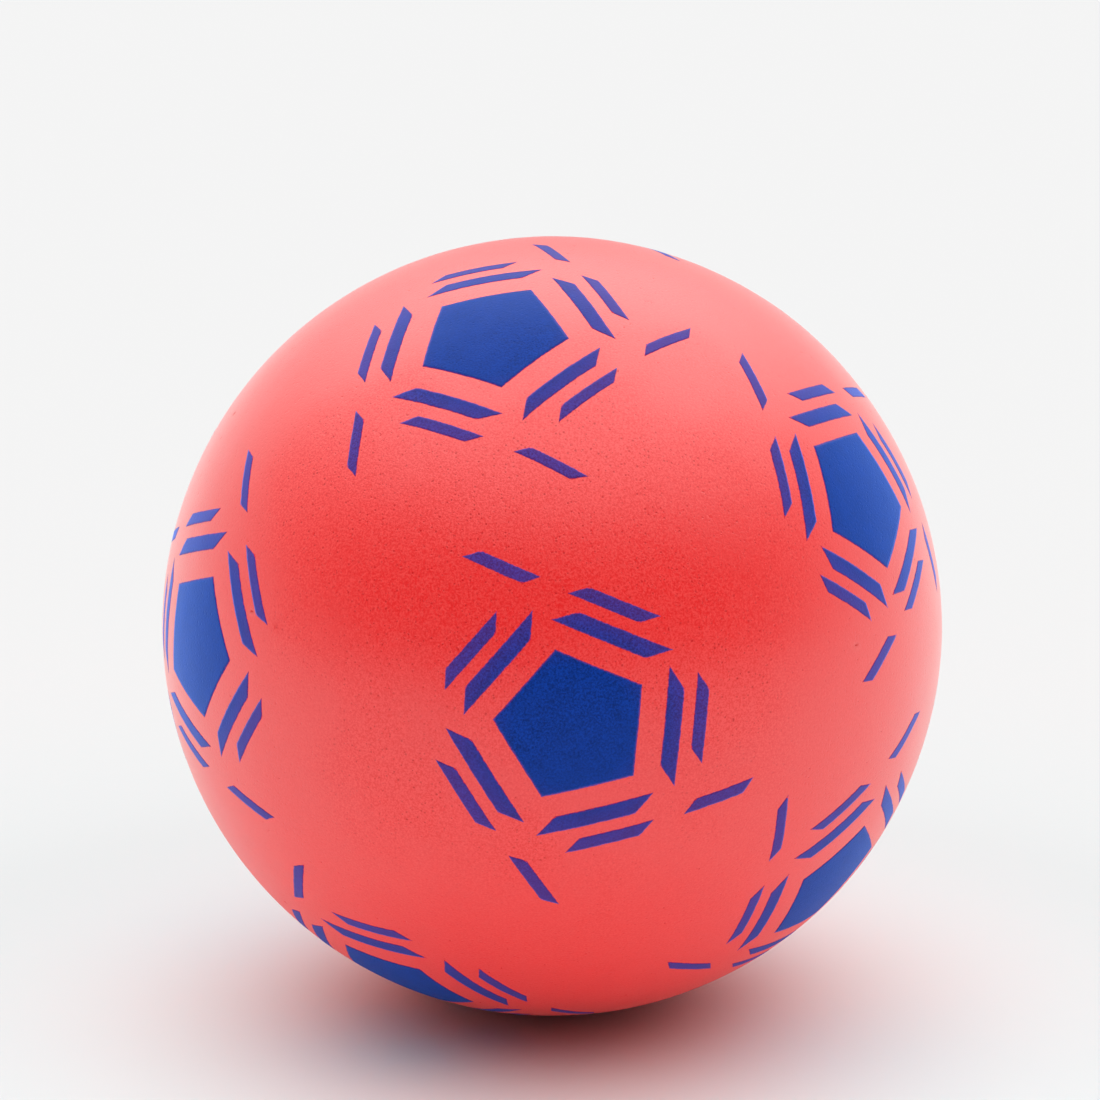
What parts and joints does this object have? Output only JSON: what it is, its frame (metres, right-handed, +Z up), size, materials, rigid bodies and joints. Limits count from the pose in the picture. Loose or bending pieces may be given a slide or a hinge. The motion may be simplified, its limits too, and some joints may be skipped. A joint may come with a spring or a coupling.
{
  "type": "foam play ball",
  "caption": "Soft moulded foam play ball with printed pentagons, resting on the small flat that its own weight presses.",
  "frame": {"origin": "centre of the ball", "axes": "+Z up from the rest flat through the centre, -Y towards the front that the picture shows"},
  "size_m": [0.2, 0.2, 0.1993],
  "materials": {
    "foam": "soft moulded flexible foam, matt, with a skin of fine open pores",
    "ink": "printed ink soaked into the foam's skin, matt"
  },
  "bodies": {
    "root": {"foam_ball": "foam", "printed_pentagon_01": "ink", "printed_pentagon_02": "ink", "printed_pentagon_03": "ink", "printed_pentagon_04": "ink", "printed_pentagon_05": "ink", "printed_pentagon_06": "ink", "printed_pentagon_07": "ink", "printed_pentagon_08": "ink", "printed_pentagon_09": "ink", "printed_pentagon_10": "ink", "printed_pentagon_11": "ink", "printed_pentagon_12": "ink"}
  },
  "joints": []
}
